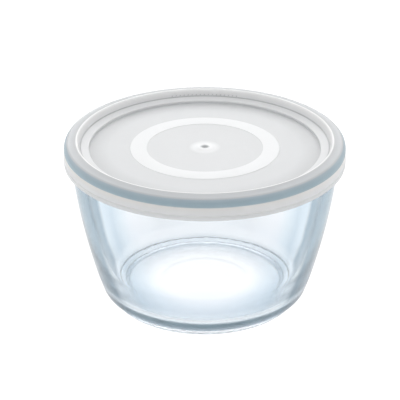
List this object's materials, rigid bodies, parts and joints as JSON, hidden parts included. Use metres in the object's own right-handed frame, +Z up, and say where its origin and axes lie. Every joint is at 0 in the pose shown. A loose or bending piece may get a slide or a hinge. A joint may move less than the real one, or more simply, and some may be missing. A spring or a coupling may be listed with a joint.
{
  "type": "glass storage container",
  "caption": "Round flared glass dish with a raised foot ring and a pull-off translucent plastic lid whose hollow rim closes over the glass bead.",
  "frame": {"origin": "centre of the foot, on the surface the dish stands on", "axes": "+Z up along the axis of the dish; the grip pad inside the lid's rim is at +Y, at the back"},
  "size_m": [0.17, 0.17, 0.1035],
  "materials": {
    "clear_glass": "clear pressed glass with a faint blue cast in its thick edges, polished",
    "lid_plastic": "translucent milky polyethylene, satin, with a finely frosted ring"
  },
  "bodies": {
    "dish": {"glass_dish": "clear_glass"},
    "lid": {"lid": "lid_plastic"}
  },
  "joints": [
    {"name": "lid_lift", "type": "slide", "parent": "dish", "child": "lid", "axis": [0, 0, 1], "range_m": [0, 0.08]}
  ]
}
